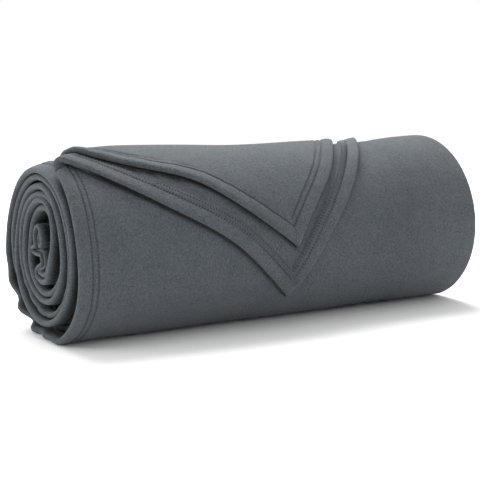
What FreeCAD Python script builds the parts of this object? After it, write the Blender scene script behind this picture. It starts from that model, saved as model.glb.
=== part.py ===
import FreeCAD, Part
import math
import os
from FreeCAD import Vector

# A fleece throw, folded in half along its length and rolled up, with the corner of its loose
# end turned back.  +X runs along the roll, from the open hemmed edges (left) to the fold
# (right), -Y is the front, where the turned-back corner lies, and +Z is up.  The origin is the
# middle of the flat underside.  All lengths are in millimetres and all angles in degrees.
#
# The sheet is face side out.  "Outer ply" is the half that shows on the outside of the roll and
# "inner ply" is the half under it.  Angles round the roll start at the front (0), pass over the
# top (90) and go down the back (180).  The sheet is wound outwards in that direction.

SIZES = {
    "roll_length": 500.0,         # half the sheet's width, from the open edges to the fold
    "roll_radius": 97.5,          # outside of the roll, without the turned-back corner
    "underside_drop": 5.0,        # how much lower a true circle would reach
    "core_radius": 30.0,          # about where the winding starts
    "ply_thickness": 2.6,         # one layer of fleece
    "hem_width": 22.0,            # fleece turned under along an edge
    "hem_thickness": 2.0,         # turned-under layer, flattened by its stitching
    "near_row": 14.0,             # from the hem's edge to the first needle row
    "row_spacing": 6.0,           # between the two needle rows
    "thread_width": 0.8,
    "thread_height": 0.4,
    "layer_gap": 0.4,             # air between layers that are not sewn together
    "hem_air": 0.85,              # between the two plies' hems, where they face each other
    "hem_clearance": 2.0,         # along the roll, between the outer ply's hem and the inner's
    "crest_angle": 64.0,          # where the outer ply starts to turn back, at the open end
    "crest_inset": 8.0,           # the same place, from the open end
    "corner_slope": 35.0,         # fall of the turned-back side edge along the roll
    "corner_side": 294.0,         # turned-back length of the side edge
    "inner_side_inset": 42.0,     # inner ply's corner inside the outer ply's, off its side edge
    "inner_end_inset": 30.0,      # and off its end edge
    "back_swell": 5.0,            # how far the last half turn stands off low on the back
    "pressed_step": 4.0,          # radial step between its plies there
    "lift_angle": 58.0,           # where the turned-back corner bends when it is lifted
    "lift_gap": 0.6,              # slit between the part that lifts and the part that stays
}
FOLD_START = "Sizes.roll_length - Sizes.ply_thickness"
STAGGER = "Sizes.hem_width + Sizes.hem_clearance"
FACET = 6.0                       # turned-back layers follow the roll in flats of this angle
SWELL_START = 130.0               # the last half turn leaves the roll's circle here
SWELL_END = 210.0

doc = FreeCAD.newDocument("rolled_throw")
sheet = doc.addObject("Spreadsheet::Sheet", "Sizes")
for row, (alias, value) in enumerate(SIZES.items(), start=1):
    sheet.set(f"A{row}", alias)
    sheet.set(f"B{row}", str(value))
    sheet.setAlias(f"B{row}", alias)
doc.recompute()


def size(alias):
    """One size, read from the sheet."""
    return float(sheet.get(alias))


length = size("roll_length")
radius = size("roll_radius")
ply = size("ply_thickness")
hem = size("hem_thickness")
hem_width = size("hem_width")
thread = size("thread_height")
gap = size("layer_gap")
stagger = hem_width + size("hem_clearance")        # inner ply's edge inside the outer ply's

left_end = -length / 2
ply_step = ply + 2 * (hem + thread) + size("hem_air")          # outer ply to inner ply
pitch = 2 * ply_step                               # radial step of one turn of both plies
whole_turns = round((radius - size("core_radius")) / pitch)    # counted over the top
axis_height = radius - size("underside_drop")      # centre of the front halves of the turns
back_height = axis_height - pitch / 2              # centre of the back halves
inner_floor = ply + gap + thread + hem             # underside level of the first inner ply
inner_press = ply_step - inner_floor               # how much the underside squeezes the plies
turn_floor = inner_floor + ply + gap               # underside level, one turn further in
rows = size("near_row"), size("near_row") + size("row_spacing")
kept = {}                                          # node name: its document object


# ---- the wound sheet: half turns of two radii, pressed flat underneath -------------------------

def on_circle(height, reach, angle):
    """The point of a circle round the roll at an angle, in the plane x = 0."""
    turn = math.radians(angle)
    return Vector(0, -reach * math.cos(turn), height + reach * math.sin(turn))


def arc(height, reach, start, end):
    """An arc round the roll."""
    points = (on_circle(height, reach, angle) for angle in (start, (start + end) / 2, end))
    return Part.Arc(*points).toShape()


def wound_path(depth, press):
    """Edges of the winding, depth under the sheet's outer face, from the loose end to the core."""
    edges = []
    for turn in range(whole_turns + 1):
        front = radius - turn * pitch - depth
        start = size("crest_angle") if turn == 0 else 90.0
        if turn == whole_turns:
            edges.append(arc(axis_height, front, start, 0))
            break
        back = front - pitch / 2
        floor = turn * turn_floor + depth - press
        if axis_height - front >= floor:
            edges.append(arc(axis_height, front, start, -90))
            edges.append(arc(back_height, back, -90, -270))
            continue
        front_end = -math.degrees(math.asin((axis_height - floor) / front))
        back_start = -180 + math.degrees(math.asin((back_height - floor) / back))
        edges.append(arc(axis_height, front, start, front_end))
        flat_start = on_circle(axis_height, front, front_end)
        flat_end = on_circle(back_height, back, back_start)
        edges.append(Part.LineSegment(flat_start, flat_end).toShape())
        edges.append(arc(back_height, back, back_start, -270))
    return edges


def band_face(outside, inside):
    """The face between two paths that run the same way."""
    caps = [
        Part.LineSegment(outside[0].Vertexes[0].Point, inside[0].Vertexes[0].Point).toShape(),
        Part.LineSegment(outside[-1].Vertexes[-1].Point, inside[-1].Vertexes[-1].Point).toShape(),
    ]
    return Part.Face(Part.Wire(Part.__sortEdges__(outside + inside + caps)))


def outline(name, face):
    """Keeps a cross-section of the roll in the document, for the extrusions that use it."""
    feature = doc.addObject("Part::Feature", name)
    feature.Shape = face
    return feature


def wound_outline(name, depth, thickness, press):
    """Cross-section of a layer that follows the whole winding."""
    outside = wound_path(depth, press)
    return outline(name, band_face(outside, wound_path(depth + thickness, press)))


def core_outline(name, depth, thickness, near, far):
    """Cross-section of a layer on the last bit of the winding, near to far from its end."""
    outer = radius - whole_turns * pitch - depth
    inner = outer - thickness
    mid = (outer + inner) / 2
    angles = math.degrees(near / mid), math.degrees(far / mid)
    return outline(name, band_face([arc(axis_height, outer, *angles)],
                                   [arc(axis_height, inner, *angles)]))


def run_along(name, base, start, end):
    """Runs a cross-section along the roll, between two distances from the open end."""
    piece = doc.addObject("Part::Extrusion", name)
    piece.Base = base
    piece.DirMode = "Custom"
    piece.Dir = Vector(1, 0, 0)
    piece.Solid = True
    piece.setExpression("LengthFwd", f"({end}) - ({start})")
    piece.setExpression(".Placement.Base.x", f"-Sizes.roll_length / 2 + {start}")
    return piece


def keep(name, piece):
    """Names a finished sub-part."""
    piece.Label = name
    kept[name] = piece
    return piece


# ---- the loose end: flat-faceted layers laid round the outside of the roll ---------------------

slope = math.radians(size("corner_slope"))
fold_slope = (math.pi / 2 - slope) / 2             # the crest halves the angle at the fold
crest_arc = math.radians(size("crest_angle")) * radius


def half_plane(along, around, limit):
    """Keeps the points of the unrolled surface where along*u + around*s <= limit."""
    return along, around, limit


def side_distance(lower, upper):
    """Between two distances from the turned-back side edge of the outer ply."""
    offset = math.sin(slope) * size("crest_inset") + math.cos(slope) * crest_arc
    return [half_plane(-math.sin(slope), -math.cos(slope), -offset - lower),
            half_plane(math.sin(slope), math.cos(slope), offset + upper)]


def end_distance(lower, upper):
    """Between two distances from the turned-back end edge of the outer ply."""
    offset = math.cos(slope) * size("crest_inset") - math.sin(slope) * crest_arc
    offset += size("corner_side")
    return [half_plane(math.cos(slope), -math.sin(slope), offset - lower),
            half_plane(-math.cos(slope), math.sin(slope), upper - offset)]


def right_of_crest(distance):
    """Further than a distance from the line where the corner turns back."""
    offset = math.cos(fold_slope) * crest_arc - math.sin(fold_slope) * size("crest_inset")
    return [half_plane(-math.sin(fold_slope), math.cos(fold_slope), offset - distance)]


def angle_between(lower, upper):
    """Between two angles round the roll."""
    return [half_plane(0, -1, -math.radians(lower) * radius),
            half_plane(0, 1, math.radians(upper) * radius)]


def cut_polygon(planes, start=0.0, end=None):
    """The convex outline, on the unrolled surface, that a list of half planes leaves."""
    far = 10 * length
    right = length if end is None else end
    points = [(start, -far), (right, -far), (right, far), (start, far)]
    for along, around, limit in planes:
        left = []
        for (u, s), (next_u, next_s) in zip(points, points[1:] + points[:1]):
            here = along * u + around * s - limit
            there = along * next_u + around * next_s - limit
            if here <= 0:
                left.append((u, s))
            if here * there < 0:
                share = here / (here - there)
                left.append((u + share * (next_u - u), s + share * (next_s - s)))
        points = left
    return points


def layer_radius(angle, lift, plies_in):
    """Radius of a layer outside the roll, plies_in plies under the outer one."""
    share = min(max((angle - SWELL_START) / (SWELL_END - SWELL_START), 0.0), 1.0)
    step = ply_step + share * (size("pressed_step") - ply_step)
    return radius + share * size("back_swell") - plies_in * step + lift


def layer_point(u, around, lift, plies_in):
    """A point of a faceted layer, from its place on the unrolled surface."""
    facets = (math.degrees(around / radius) - size("crest_angle")) / FACET
    whole = math.floor(facets + 1e-9)
    corners = []
    for step in (whole, whole + 1):
        angle = size("crest_angle") + step * FACET
        reach = layer_radius(angle, lift, plies_in) / math.cos(math.radians(FACET / 2))
        corners.append(on_circle(axis_height, reach, angle))
    spot = corners[0] + (corners[1] - corners[0]) * (facets - whole)
    return Vector(left_end + u, spot.y, spot.z)


def width_at(points, around):
    """Ends of a convex outline along the roll, at one distance round it."""
    crossings = []
    for (u, s), (next_u, next_s) in zip(points, points[1:] + points[:1]):
        if min(s, next_s) - 1e-6 <= around <= max(s, next_s) + 1e-6:
            if abs(next_s - s) < 1e-6:
                crossings += [u, next_u]
            else:
                share = min(max((around - s) / (next_s - s), 0.0), 1.0)
                crossings.append(u + (next_u - u) * share)
    return min(crossings), max(crossings)


def closed_solid(loops):
    """A solid whose flat faces are given as loops of points."""
    faces = []
    for loop in loops:
        corners = [spot for i, spot in enumerate(loop) if (spot - loop[i - 1]).Length > 1e-4]
        if len(corners) > 2:
            faces.append(Part.Face(Part.makePolygon(corners + corners[:1])))
    solid = Part.Solid(Part.makeShell(faces))
    if solid.Volume < 0:
        solid.reverse()
    return solid


def wrapped(name, points, inside, outside):
    """An outline laid round the roll, closed between two layers, each a lift and plies_in."""
    facet = math.radians(FACET) * radius
    lowest, highest = min(s for _, s in points), max(s for _, s in points)
    first = math.ceil((lowest - crest_arc) / facet)
    last = math.floor((highest - crest_arc) / facet)
    stations = [s for _, s in points] + [crest_arc + step * facet for step in range(first, last + 1)]
    rings, done = [], lowest - 1
    for around in sorted(stations):
        if around - done < 1e-3:
            continue
        low, high = width_at(points, around)
        rings.append([layer_point(u, around, *layer) for layer in (inside, outside)
                      for u in (low, high)])
        done = around
    loops = [(ring[0], ring[1], ring[3], ring[2]) for ring in (rings[0], rings[-1])]
    for near, far in zip(rings, rings[1:]):
        loops.append((near[0], near[1], far[1], far[0]))
        loops.append((near[2], near[3], far[3], far[2]))
        for side in (0, 1):
            loops.append((near[side], near[side + 2], far[side + 2]))
            loops.append((near[side], far[side + 2], far[side]))
    piece = doc.addObject("Part::Feature", name)
    piece.Shape = closed_solid(loops)
    return piece


# ---- threads and hems of the wound sheet --------------------------------------------------------
# A coverstitch is two needle threads on the face side and one looper thread on the hem behind.

def needle_depth(ply_depth, face_out):
    """Depth of a needle thread, sunk into the pile of the ply's face side."""
    return ply_depth if face_out else ply_depth + ply - thread


side_edges = {
    # ply: (its depth, how much the underside presses it, face side out, its edge's place)
    "outer": (0.0, 0.0, True, "0"),
    "inner": (ply_step, inner_press, False, STAGGER),
}
needle_threads = []
for ply_name, (depth, press, face_out, edge) in side_edges.items():
    hem_depth = depth + ply if face_out else depth - hem
    looper_depth = hem_depth + hem if face_out else hem_depth - thread
    name = f"{ply_name}_side_hem"
    base = wound_outline(f"{name}_outline", hem_depth, hem, press)
    keep(name, run_along(name, base, edge, f"{edge} + Sizes.hem_width"))
    name = f"{ply_name}_side_looper_thread"
    base = wound_outline(f"{name}_outline", looper_depth, thread, press)
    near = f"{edge} + Sizes.near_row"
    keep(name, run_along(name, base, near, f"{near} + Sizes.row_spacing"))
    base = wound_outline(f"{ply_name}_needle_outline", needle_depth(depth, face_out), thread, press)
    for count, extra in enumerate(("0", "Sizes.row_spacing"), start=1):
        name = f"{ply_name}_side_needle_thread_{count}"
        middle = f"{near} + {extra}"
        piece = run_along(name, base, f"{middle} - Sizes.thread_width / 2",
                          f"{middle} + Sizes.thread_width / 2")
        needle_threads.append(keep(name, piece))

for ply_name, (depth, press, face_out, edge) in side_edges.items():
    hem_depth = depth + ply if face_out else depth - hem
    looper_depth = hem_depth + hem if face_out else hem_depth - thread
    start = f"{edge} + Sizes.hem_width"
    name = f"{ply_name}_core_hem"
    base = core_outline(f"{name}_outline", hem_depth, hem, 0, hem_width)
    keep(name, run_along(name, base, start, FOLD_START))
    name = f"{ply_name}_core_looper_thread"
    base = core_outline(f"{name}_outline", looper_depth, thread, *rows)
    keep(name, run_along(name, base, start, FOLD_START))
    for count, row in enumerate(rows, start=1):
        name = f"{ply_name}_core_needle_thread_{count}"
        half = size("thread_width") / 2
        base = core_outline(f"{name}_outline", needle_depth(depth, face_out), thread,
                            row - half, row + half)
        needle_threads.append(keep(name, run_along(name, base, start, FOLD_START)))

# ---- fleece sheet: both plies, the fold that joins them, and the last half turn -------------------

outer_outline = wound_outline("outer_ply_outline", 0, ply, 0)
inner_outline = wound_outline("inner_ply_outline", ply_step, ply, inner_press)
fold_outline = outline("fold_outline", band_face(
    wound_path(0, 0), wound_path(ply_step + ply, inner_press)))
last_half_turn = angle_between(size("crest_angle"), SWELL_END) + right_of_crest(0)

whole_sheet = doc.addObject("Part::MultiFuse", "whole_sheet")
whole_sheet.Shapes = [
    run_along("outer_winding", outer_outline, "0", "Sizes.roll_length"),
    run_along("inner_winding", inner_outline, STAGGER, "Sizes.roll_length"),
    run_along("fold_winding", fold_outline, FOLD_START, "Sizes.roll_length"),
    wrapped("outer_last_half_turn", cut_polygon(last_half_turn), (-ply, 0), (0, 0)),
    wrapped("inner_last_half_turn", cut_polygon(last_half_turn, stagger), (-ply, 1), (0, 1)),
    wrapped("fold_last_half_turn", cut_polygon(last_half_turn, length - ply), (-ply, 1), (0, 0)),
]
thread_grooves = doc.addObject("Part::Compound", "thread_grooves")
thread_grooves.Links = needle_threads
fleece = doc.addObject("Part::Cut", "fleece_sheet")
fleece.Base = whole_sheet
fleece.Tool = thread_grooves
keep("fleece_sheet", fleece)

# ---- the turned-back corner, in a part that stays on the roll and a part that lifts ---------------

outer_lift = gap + thread                          # outer ply, face down, over its own threads
inner_lift = outer_lift + ply + gap + thread + hem
far_away = 10 * length
half_slit = math.degrees(size("lift_gap") / 2 / radius)
stretches = {
    "turned": angle_between(size("lift_angle") + half_slit, SWELL_END),
    "corner": angle_between(-180, size("lift_angle") - half_slit),
}
turned_plies = {
    # ply: (its lift, its hem's, its looper's, its needle threads', side inset, end inset)
    "outer": (outer_lift, outer_lift + ply, outer_lift + ply + hem, outer_lift - thread, 0, 0),
    "inner": (inner_lift, inner_lift - hem, inner_lift - hem - thread, inner_lift + ply,
              size("inner_side_inset"), size("inner_end_inset")),
}


def strips(side, end, near, far):
    """Outlines of a strip along the side edge and of one along the end edge, met at a mitre."""
    return {
        "side": side_distance(side + near, side + far) + end_distance(end + near, far_away),
        "end": end_distance(end + near, end + far) + side_distance(side + far, far_away),
    }


for stretch, limits in stretches.items():
    for ply_name, (lift, hem_lift, looper_lift, needle_lift, side, end) in turned_plies.items():
        crest = right_of_crest(-ply if ply_name == "outer" else 0)
        region = limits + crest

        def layer(name, planes, bottom, thickness):
            """One layer of this ply's corner, kept as a node."""
            points = cut_polygon(planes + region)
            keep(name, wrapped(name, points, (bottom, 0), (bottom + thickness, 0)))

        whole = side_distance(side, far_away) + end_distance(end, far_away)
        layer(f"{stretch}_{ply_name}_ply", whole, lift, ply)
        for edge, planes in strips(side, end, 0, hem_width).items():
            layer(f"{stretch}_{ply_name}_{edge}_hem", planes, hem_lift, hem)
        for edge, planes in strips(side, end, *rows).items():
            layer(f"{stretch}_{ply_name}_{edge}_looper_thread", planes, looper_lift, thread)
        for count, row in enumerate(rows, start=1):
            half = size("thread_width") / 2
            for edge, planes in strips(side, end, row - half, row + half).items():
                name = f"{stretch}_{ply_name}_{edge}_needle_thread_{count}"
                layer(name, planes, needle_lift, thread)

# ---- check and write ----------------------------------------------------------------------------

doc.recompute()
for item in doc.Objects:
    if "Invalid" in item.State or "Error" in item.State:
        raise SystemExit(f"{item.Name} failed: {item.State}")
os.makedirs("parts", exist_ok=True)
for name, piece in kept.items():
    if piece.Shape.isNull() or not piece.Shape.isValid() or piece.Shape.Volume <= 0:
        raise SystemExit(f"{name} has no sound solid")
    piece.Shape.exportStep(f"parts/{name}.step")
    print(f"{name}: {len(piece.Shape.Solids)} solid, {piece.Shape.Volume / 1000:.3f} cm3")
side_length = outer_outline.Shape.Area / ply + size("corner_side")
print(f"{len(kept)} nodes; the sheet is {2 * length:.0f} by about {side_length:.0f} mm")
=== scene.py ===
"""A fleece throw, folded double and rolled up, with one corner of its loose end turned back."""

import logging
import math
from dataclasses import dataclass, field
from enum import Enum
from typing import Sequence

import bmesh
import bpy
import numpy as np
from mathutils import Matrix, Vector


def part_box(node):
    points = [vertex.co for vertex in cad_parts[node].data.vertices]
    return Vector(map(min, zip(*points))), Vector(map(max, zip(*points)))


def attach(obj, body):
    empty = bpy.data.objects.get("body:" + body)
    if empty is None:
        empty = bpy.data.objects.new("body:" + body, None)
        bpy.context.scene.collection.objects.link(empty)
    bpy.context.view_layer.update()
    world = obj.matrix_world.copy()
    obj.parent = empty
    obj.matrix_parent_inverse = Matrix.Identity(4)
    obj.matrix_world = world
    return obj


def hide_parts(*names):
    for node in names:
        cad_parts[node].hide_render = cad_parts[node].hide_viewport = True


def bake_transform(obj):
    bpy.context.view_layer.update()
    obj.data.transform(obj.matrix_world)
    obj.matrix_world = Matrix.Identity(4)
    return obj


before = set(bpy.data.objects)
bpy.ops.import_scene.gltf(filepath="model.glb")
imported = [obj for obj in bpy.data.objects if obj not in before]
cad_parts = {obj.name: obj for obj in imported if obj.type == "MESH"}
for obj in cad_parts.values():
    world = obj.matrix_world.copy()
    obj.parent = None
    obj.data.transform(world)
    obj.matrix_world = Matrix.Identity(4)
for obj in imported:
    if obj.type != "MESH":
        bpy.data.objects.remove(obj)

LOG = logging.getLogger("throw")
MM = 0.001
ROLL_BODY = "roll"
# The attribute that carries painted shade: how open each point of the cloth is to the light.
SHADE = "openness"
# The distance over which the cloth's slopes are measured.
SLOPE_STEP = 0.25 * MM
# Points of the cloth, and of a thread, that are nearer than this become one.
CLOTH_MERGE = 5e-6
THREAD_MERGE = 1e-7
# A direction that no thread runs along.
OFF_AXIS = np.array([0.31, 0.53, 0.79])
# Distances from a hemmed edge at which the cloth gets a row of points: close together round the
# edge, at the two rows of stitching and at the step where the hem ends.
HEM_STATIONS = MM * np.array([
    0, 0.15, 0.45, 0.9, 1.6, 2.8, 5, 8, 11, 12.6, 13.3, 14, 14.7, 15.4,
    17, 18.6, 19.3, 20, 20.7, 21.4, 22, 22.8, 24.5, 28, 33,
])
FOLD_STATIONS = MM * np.array([0, 3, 8])
TIP_STATIONS = MM * np.array([0, 1, 3, 6, 10])

Colour = tuple[float, float, float, float]
Spot = tuple[float, float, float]
WHITE: Colour = (1, 1, 1, 1)


class Ply(Enum):
    """The two plies of the doubled sheet, outside and inside on the roll."""

    OUTER = 0
    INNER = 1

    @property
    def label(self) -> str:
        """The ply's name in the names of pieces and nodes."""
        return self.name.lower()


class Edge(Enum):
    """The hemmed edges of the sheet."""

    SIDE = "side"
    END = "end"
    CORE = "core"


class Face(Enum):
    """The two sides of the cloth: the hems are turned over onto the back."""

    FRONT = 1
    BACK = -1


# ---- smooth changes ------------------------------------------------------------------------------


def ease(value: np.ndarray) -> np.ndarray:
    """A smooth step from 0 to 1 as value goes from 0 to 1."""
    share = np.clip(value, 0.0, 1.0)
    return share * share * (3 - 2 * share)


def hump(value: np.ndarray, centre: float, width: float) -> np.ndarray:
    """A soft hump of height 1 round a centre."""
    return np.exp(-(((value - centre) / width) ** 2))


def fading(distance: np.ndarray, reach: float) -> np.ndarray:
    """1 at no distance or less, dying away over a reach."""
    return np.exp(-np.clip(distance, 0, None) / reach)


def keep_above(height: np.ndarray, floor: np.ndarray, softness: float) -> np.ndarray:
    """Keeps heights above a floor, with a rounded transition.

    Args:
        height: Heights to limit, in metres.
        floor: Lowest height allowed at each place.
        softness: Size of the rounded transition.

    Returns:
        The limited heights.
    """
    limit = 30
    over = np.clip((height - floor) / softness, -limit, limit)
    raised = floor + softness * np.log1p(np.exp(over))
    return np.where(height - floor > limit * softness, height, raised)


@dataclass(frozen=True)
class Swell:
    """A soft swelling along a run: how much, where and how wide."""

    amount: float
    centre: float
    width: float

    def at(self, run: np.ndarray) -> np.ndarray:
        """The swelling at some places along the run."""
        return self.amount * hump(run, self.centre, self.width)


@dataclass(frozen=True)
class Change:
    """A smooth change by an amount, between two places along a run."""

    amount: float
    start: float
    stop: float

    def at(self, run: np.ndarray) -> np.ndarray:
        """How much has changed at some places along the run."""
        return self.amount * ease((run - self.start) / (self.stop - self.start))


@dataclass(frozen=True)
class Wave:
    """A wave: its height, waves in a radian of turn, phase, and change of phase with depth."""

    height: float
    pace: float
    phase: float
    drift: float = 0.0

    def at(self, angle: np.ndarray, depth: np.ndarray | float = 0.0) -> np.ndarray:
        """The wave at some angles, in radians."""
        return self.height * np.sin(self.pace * angle + self.phase + self.drift * depth)


def total(features: Sequence[Swell | Change], run: np.ndarray) -> np.ndarray:
    """The sum of several features along one run."""
    return sum(feature.at(run) for feature in features)


# ---- the shape of the cloth ----------------------------------------------------------------------


@dataclass(frozen=True)
class OpenEdge:
    """How far a ply's open edge lies from the roll's left end, in millimetres.

    By turn, in degrees inwards, the turns telescope. By reach, in millimetres out from the crest,
    the edge bends along the turned-back corner. Where the lowest turns are squashed, it is in folds.
    """

    start: float
    by_turn: tuple[Swell | Change, ...]
    by_reach: tuple[Swell | Change, ...]
    squashed: tuple[Swell, ...]
    ripple: Wave
    deep: Change = Change(1, 300, 390)
    first_fold: float = 243
    fold_pitch: float = 21

    def at(self, turned: np.ndarray, reach: np.ndarray) -> np.ndarray:
        """The edge's place, in millimetres.

        Args:
            turned: Degrees inwards from the top.
            reach: Millimetres out from the crest.

        Returns:
            The edge's place, in millimetres.
        """
        folds = np.cos(math.tau * (turned - self.first_fold) / self.fold_pitch)
        edge = self.start + total(self.by_turn, turned) + total(self.by_reach, reach)
        edge = edge + folds * total(self.squashed, turned)
        return edge + self.deep.at(turned) * self.ripple.at(np.radians(turned))


OPEN_EDGES = {
    Ply.OUTER: OpenEdge(
        start=1.5,
        by_turn=(Change(-1.5, 150, 210), Swell(-2, 70, 40), Swell(2, 125, 30), Swell(8, 207, 30)),
        by_reach=(Change(2, 0, 50), Swell(9.5, 205, 72), Change(-2, 270, 310)),
        squashed=(Swell(-4.5, 214, 28),),
        ripple=Wave(1.2, 1.7, 0.6),
    ),
    Ply.INNER: OpenEdge(
        start=9.5,
        by_turn=(Change(23.5, 26, 76), Change(-30, 120, 290), Swell(5, 200, 28)),
        by_reach=(Change(30, 20, 170),),
        squashed=(Swell(4, 196, 36), Swell(0.7, 550, 60)),
        ripple=Wave(1.6, 1.3, 2.1),
    ),
}


@dataclass(frozen=True)
class Cloth:
    """The fleece's thickness, and the make of its hems."""

    ply: float = 2.8 * MM
    hem: float = 2.6 * MM
    hem_width: float = 22 * MM
    rows: tuple[float, float] = (14 * MM, 20 * MM)
    # How far a hem puffs up between its edge and its stitching, and the share seen on the back.
    puff: float = 0.8 * MM
    back_puff: float = 0.6
    # Fine puckers along a hem: height, length of a radian and phase.
    puckers: tuple[tuple[float, float, float], ...] = ((0.16 * MM, 2.3 * MM, 0), (0.2 * MM, 5.1 * MM, 1))
    pucker_start: float = 4 * MM
    pucker_fade: float = 9 * MM
    # The grooves that the stitching pulls: half width, and depth in front and behind.
    groove_width: float = 0.9 * MM
    front_groove: float = 1.3 * MM
    back_groove: float = 0.8 * MM
    step_width: float = 1.2 * MM
    # In the heart of the roll the hems are pressed thinner.
    pressed: float = 0.6
    # Painted shade along the rows of stitching: its half width, and how dark it is.
    crease_width: float = 0.8 * MM
    crease_shade: float = 0.5


@dataclass
class ThrowForm:
    """Where every point of the rolled sheet lies.

    A point of the sheet has two coordinates. Across runs from the outer ply's open edge at the left
    end, along the roll, round the fold at the right end, and back to the inner ply's open edge.
    Around is the distance from the place where the corner turns back, measured along the winding:
    negative into the roll, positive towards the sheet's loose end. Features by turn are in
    millimetres against degrees or whole turns, and those along the roll are in millimetres.
    """

    cloth: Cloth = Cloth()
    # The winding: the plies' distance apart in it and at its hems, and how it closes in.
    ply_step: float = 8.25 * MM
    hem_step: float = 11 * MM
    hem_reach: float = 34 * MM
    lap_gain: float = 7 * MM
    lap_turns: float = 0.45
    first_loss: float = 14.9 * MM
    closing_bow: float = 0.4
    spacing: float = 17.8 * MM
    underside_drop: float = 5 * MM
    core_turns: float = 4.12
    whole_turns: float = 3.5
    heart_gap: Change = Change(-0.3, 1150, 1350)
    # The crest, where the corner turns back: its place, its slope, and the plies' bends in it.
    crest_turned: float = 26.0
    crest_inset: float = 8 * MM
    fold_slope: float = math.radians(27.5)
    crest_sweep: Change = Change(130, 330, 480)
    crest_bend: float = 3.6 * MM
    crest_spread: float = 4.6 * MM
    open_spread: float = 5 * MM
    open_reach: float = 45 * MM
    spread_run: float = 55 * MM
    settle_run: float = 60 * MM
    seam: float = 3 * MM
    # The loose end: each ply's length past the crest, its bow, its tuck and its drawn-in corner.
    ends: tuple[float, float] = (306 * MM, 291.5 * MM)
    end_bow: Change = Change(2.5, 130, 210)
    end_tuck: Swell = Swell(-6, 75, 50)
    inner_tuck: float = 0.25
    corner_drawn: float = 7.0
    corner_reach: float = 30.0
    fold_overhang: float = 2.5 * MM
    # The crumpled heart of the roll, seen from its open end: across to the front, then upwards.
    heart: tuple[tuple[float, float], ...] = (
        (2, -37), (-9, -35), (-14, -25), (-7, -16), (2, -14), (2, -7), (-13, -7), (-23, -2),
        (-14, 2), (-6, 1), (-9, 8), (-11, 18), (-4, 28), (6, 23), (7, 9), (0, 3), (-4, 11), (0, 19),
    )
    heart_blend: float = 30 * MM
    heart_pinch: float = 0.6
    heart_sway: tuple[float, float, float] = (1.5 * MM, 9 * MM, 31 * MM)
    # Unevenness of the winding, the point that the inner turns have below, and slow sways.
    waves: tuple[Wave, ...] = (Wave(0.7, 2, 0.8, 0.35), Wave(0.5, 3, 2.0, -0.5), Wave(0.4, 5, 4.1, 0.7))
    wave_growth: Change = Change(0.8, 0, 0.6)
    wave_start: float = 0.2
    wave_reach: float = 90 * MM
    wave_inside: float = 0.35
    deepest: float = 4.4
    point: Swell = Swell(1.6, 186, 40)
    point_growth: Change = Change(1, 0.9, 2.4)
    sway_calm: float = 0.6
    slow_sway: tuple[float, float, float] = (0.5, 58 * MM, 1.1)
    quick_sway: tuple[float, float] = (0.35, 23 * MM)
    # The shape of the inner turns, by whole turns, and how they slump, by degrees.
    narrow: tuple[Change, ...] = (Change(2.5, 0.9, 1.5), Change(7.5, 1.8, 3.4))
    raised: tuple[Change, ...] = (Change(1, 1.0, 1.5), Change(3.3, 1.9, 2.5))
    forward: Swell = Swell(3, 2.6, 0.6)
    slumped: tuple[Swell, ...] = (Swell(3.5, 530, 60), Swell(2, 900, 60))
    # Departures of the outline from round, by degrees, and where along the roll they reach.
    tucked: Swell = Swell(-2, 95, 55)
    sprung: Swell = Swell(6, 236, 32)
    flared: tuple[Swell, ...] = (Swell(4, 10, 50), Swell(1, 100, 60))
    top: Swell = Swell(1, -4, 48)
    top_depth: float = 500
    pressed_top: tuple[float, float, float] = (0.6, 1.8, 5.2)
    sprung_reach: float = 90 * MM
    flare_start: float = 0.78
    press_start: Change = Change(1, 0, 55)
    flap_stop: Change = Change(1, 370, 430)
    # The outer turns spring out beyond the crest, and are lifted by the lap low at the back.
    bulge: float = 7.5 * MM
    bulge_runs: tuple[float, float] = (45 * MM, 24 * MM)
    bulge_start: Change = Change(1, 200, 260)
    bulge_depth: tuple[float, float] = (400, 260)
    lap: Change = Change(6, 360, 430)
    lap_place: Swell = Swell(1, 215, 42)
    lap_depth: tuple[float, float] = (204, 720)
    lap_from: float = 90
    # How each turned-back ply lies on the roll: its height, and its shares of the lift and wave.
    lying: tuple[tuple[float, float, float], ...] = ((3.8, 0.6, 0.4), (8.6, 1.5, 0.7))
    side_lift: tuple[float, float] = (2.4, 10 * MM)
    end_lift: tuple[float, float] = (0.55, 16 * MM)
    side_roll: tuple[float, float] = (26 * MM, 2)
    end_roll: tuple[float, float, float] = (0.8, 29 * MM, 1.0)
    roll_fade: float = 40 * MM
    # How the roll leans out at the fold, and how it rests: clear of the floor, and how softly.
    lean: tuple[float, float] = (0.8, 3.0)
    lean_start: float = 0.7
    clearance: float = 0.9
    inner_clearance: float = 2.4 * MM
    flap_clearance: Change = Change(3.2, 0, 4)
    floor_softness: float = 0.9 * MM
    axis_hole: tuple[float, float] = (2.4 * MM, 0.6 * MM)
    # Where the cloth gets painted shade: how deep in from the open edge, and from which turns it is
    # covered.
    dark_depth: Change = Change(1, 1, 8)
    wrapped: Change = Change(1, 375, 405)
    behind_first: Change = Change(1, 60, 120)
    hems_apart: Change = Change(1, 60, 260)
    # The painted shadow of the upper ply's open edge: across that edge, and out from the crest.
    shadow_edge: Change = Change(1, -1, 2)
    shadow_start: Change = Change(1, 12, 24)
    # Where along the roll the search for a corner's tip starts.
    tip_search: float = 0.3
    length: float = field(init=False)
    left: float = field(init=False)
    radius: float = field(init=False)
    axis_height: float = field(init=False)
    width: float = field(init=False)
    core: float = field(init=False)
    turn_table: np.ndarray = field(init=False)
    walked_table: np.ndarray = field(init=False)
    heart_start: float = field(init=False)
    heart_table: np.ndarray = field(init=False)

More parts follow.
